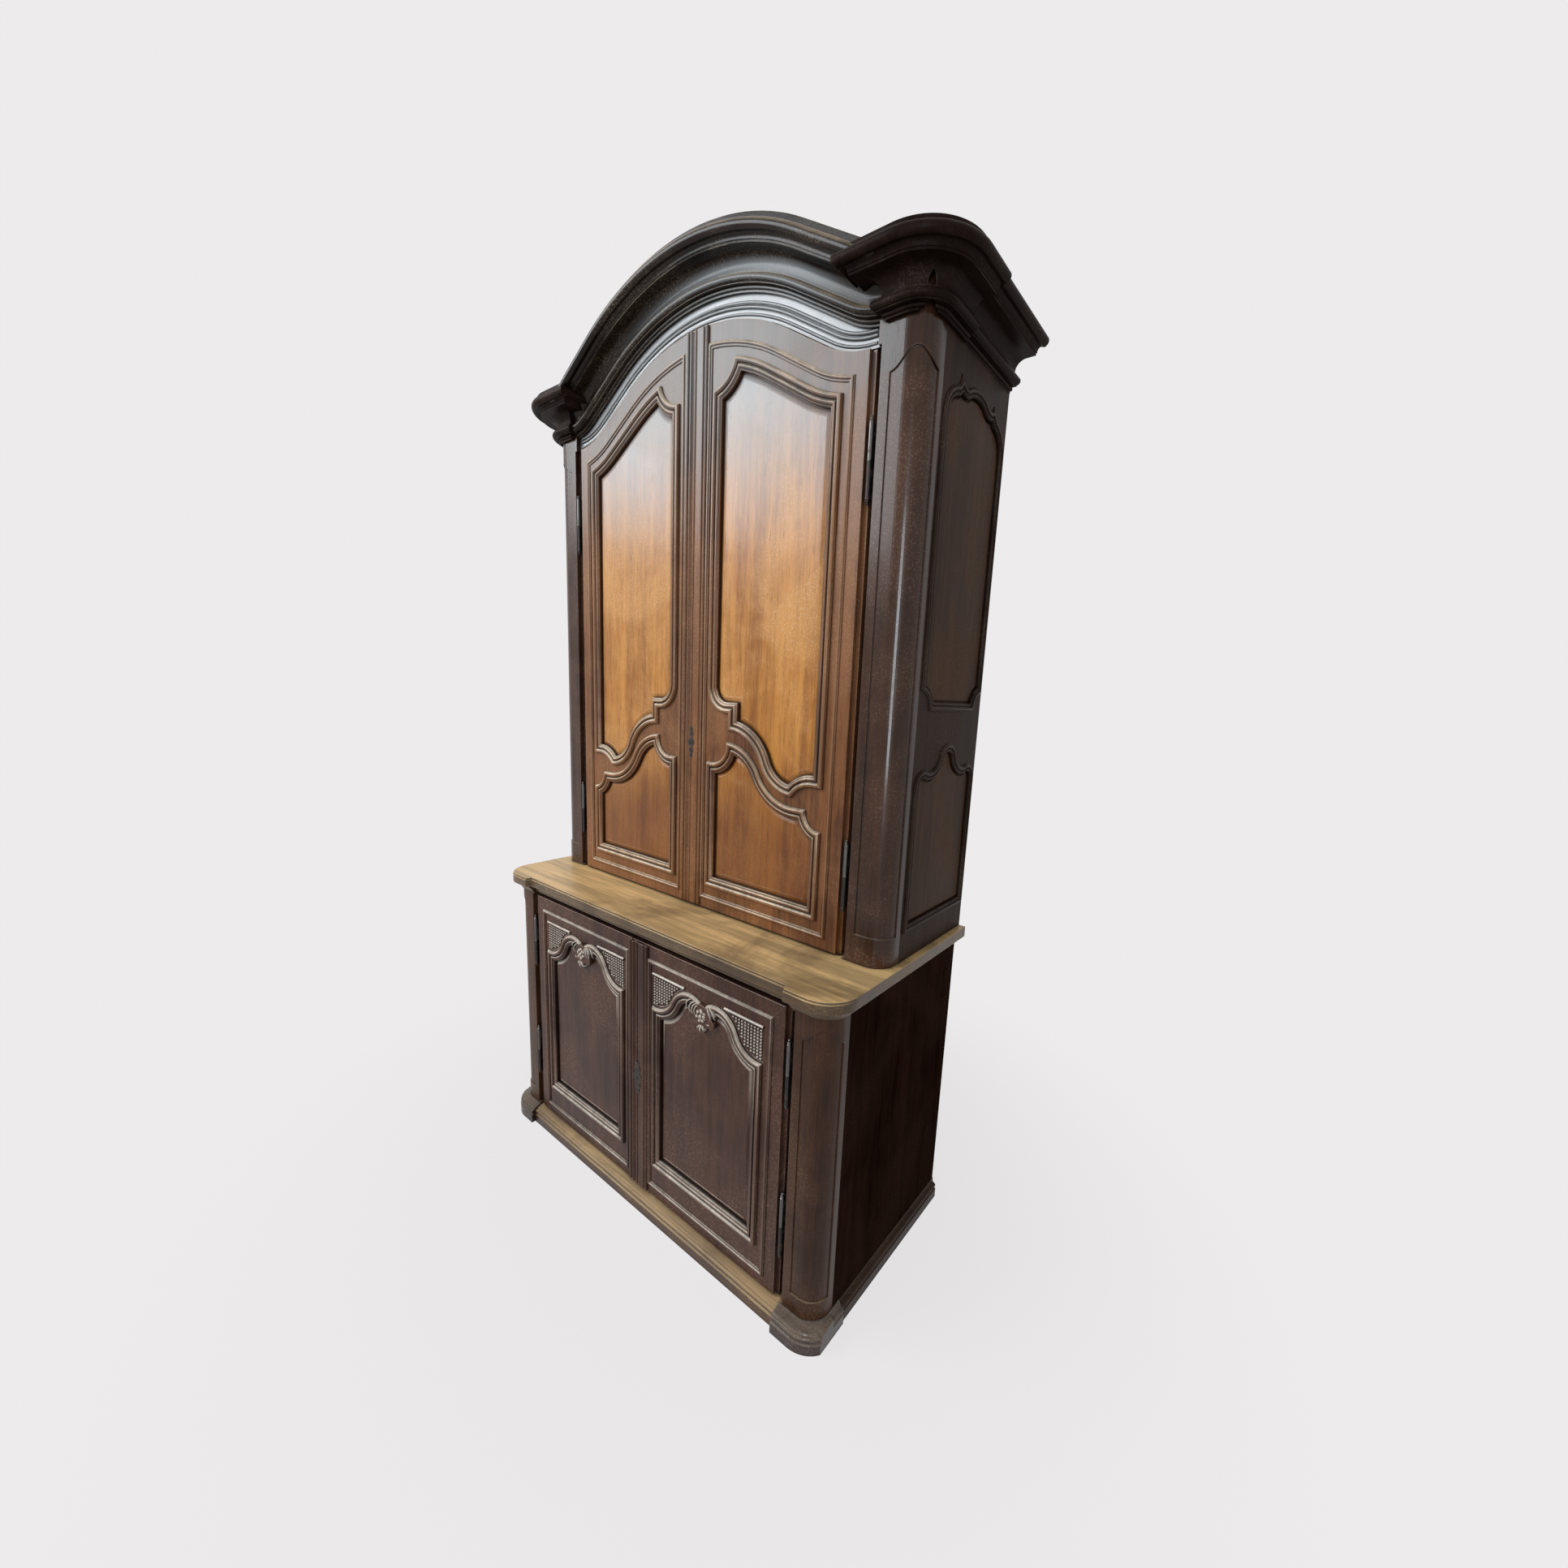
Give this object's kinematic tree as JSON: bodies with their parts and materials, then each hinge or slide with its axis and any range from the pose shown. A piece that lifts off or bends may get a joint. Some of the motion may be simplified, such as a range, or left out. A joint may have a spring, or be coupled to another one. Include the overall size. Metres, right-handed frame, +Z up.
{
  "type": "two-part buffet",
  "caption": "Tall two-part oak buffet: deep lower body with panelled doors, set-back upper body with arched panelled doors under a moulded cornice.",
  "frame": {"origin": "floor level, middle of the bounding box in plan", "axes": "+X to the right as seen from the front, +Y to the back, +Z up; the front faces -Y"},
  "size_m": [1.574, 0.67, 2.6999],
  "materials": {
    "waxed_oak": "waxed",
    "dark_oak": "waxed",
    "worn_oak": "worn wax",
    "top_oak": "worn wax",
    "panel_oak": "waxed",
    "inner_oak": "bare",
    "iron": "forged",
    "steel": "worn"
  },
  "bodies": {
    "cabinet": {"plinth_front": "worn_oak", "plinth_sides": "worn_oak", "front_foot_left": "worn_oak", "front_foot_right": "worn_oak", "lower_corner_post_left": "dark_oak", "lower_corner_post_right": "dark_oak", "lower_rear_posts": "waxed_oak", "lower_side_left": "dark_oak", "lower_side_right": "dark_oak", "lower_bottom_boards": "inner_oak", "lower_shelf": "inner_oak", "lower_back_boards": "inner_oak", "lower_front_rails": "waxed_oak", "countertop": "top_oak", "countertop_cove": "worn_oak", "upper_corner_post_left": "dark_oak", "upper_corner_post_right": "dark_oak", "upper_rear_posts": "waxed_oak", "upper_side_frame_left": "dark_oak", "upper_side_frame_right": "dark_oak", "upper_side_panels_left": "dark_oak", "upper_side_panels_right": "dark_oak", "upper_bottom_boards": "inner_oak", "upper_shelves": "inner_oak", "upper_back_boards": "inner_oak", "arch_board": "waxed_oak", "cornice_front": "waxed_oak", "cornice_left": "waxed_oak", "cornice_right": "waxed_oak", "upper_top_boards": "inner_oak", "shelf_cleats": "inner_oak", "upper_hinge_seats": "iron", "lower_hinge_seats": "iron", "hinge_pins": "steel"},
    "upper_left_door": {"upper_left_door_frame": "waxed_oak", "upper_left_door_panels": "panel_oak", "upper_bolt_staples": "iron", "upper_left_hinges": "iron"},
    "upper_right_door": {"upper_right_door_frame": "waxed_oak", "upper_right_door_panels": "panel_oak", "upper_closing_strip": "waxed_oak", "upper_lock_case": "iron", "upper_keyhole_plate": "iron", "upper_right_hinges": "iron"},
    "lower_left_door": {"lower_left_door_frame": "waxed_oak", "lower_left_door_panel": "waxed_oak", "lower_left_door_carving": "waxed_oak", "lower_bolt_staples": "iron", "lower_left_hinges": "iron"},
    "lower_right_door": {"lower_right_door_frame": "waxed_oak", "lower_right_door_panel": "waxed_oak", "lower_right_door_carving": "waxed_oak", "lower_closing_strip": "waxed_oak", "lower_lock_case": "iron", "lower_keyhole_plate": "iron", "lower_right_hinges": "iron"},
    "upper_lock_bolt": {"upper_lock_bolt": "steel"},
    "lower_lock_bolt": {"lower_lock_bolt": "steel"},
    "upper_door_bolt": {"upper_door_bolt": "iron"},
    "lower_door_bolt": {"lower_door_bolt": "iron"}
  },
  "joints": [
    {"name": "upper_left_door_swing", "type": "hinge", "parent": "cabinet", "child": "upper_left_door", "pos_m": [-0.5655, -0.107, 1.62], "axis": [0, 0, -1], "range_deg": [0, 110]},
    {"name": "upper_right_door_swing", "type": "hinge", "parent": "cabinet", "child": "upper_right_door", "pos_m": [0.5655, -0.107, 1.62], "axis": [0, 0, 1], "range_deg": [0, 110]},
    {"name": "lower_left_door_swing", "type": "hinge", "parent": "cabinet", "child": "lower_left_door", "pos_m": [-0.5655, -0.3, 0.46], "axis": [0, 0, -1], "range_deg": [0, 110]},
    {"name": "lower_right_door_swing", "type": "hinge", "parent": "cabinet", "child": "lower_right_door", "pos_m": [0.5655, -0.3, 0.46], "axis": [0, 0, 1], "range_deg": [0, 110]},
    {"name": "upper_lock_throw", "type": "slide", "parent": "upper_right_door", "child": "upper_lock_bolt", "axis": [-1, 0, 0], "range_m": [0, 0.014]},
    {"name": "lower_lock_throw", "type": "slide", "parent": "lower_right_door", "child": "lower_lock_bolt", "axis": [-1, 0, 0], "range_m": [0, 0.014]},
    {"name": "upper_bolt_slide", "type": "slide", "parent": "upper_left_door", "child": "upper_door_bolt", "axis": [0, 0, -1], "range_m": [0, 0.014]},
    {"name": "lower_bolt_slide", "type": "slide", "parent": "lower_left_door", "child": "lower_door_bolt", "axis": [0, 0, 1], "range_m": [0, 0.014]}
  ]
}
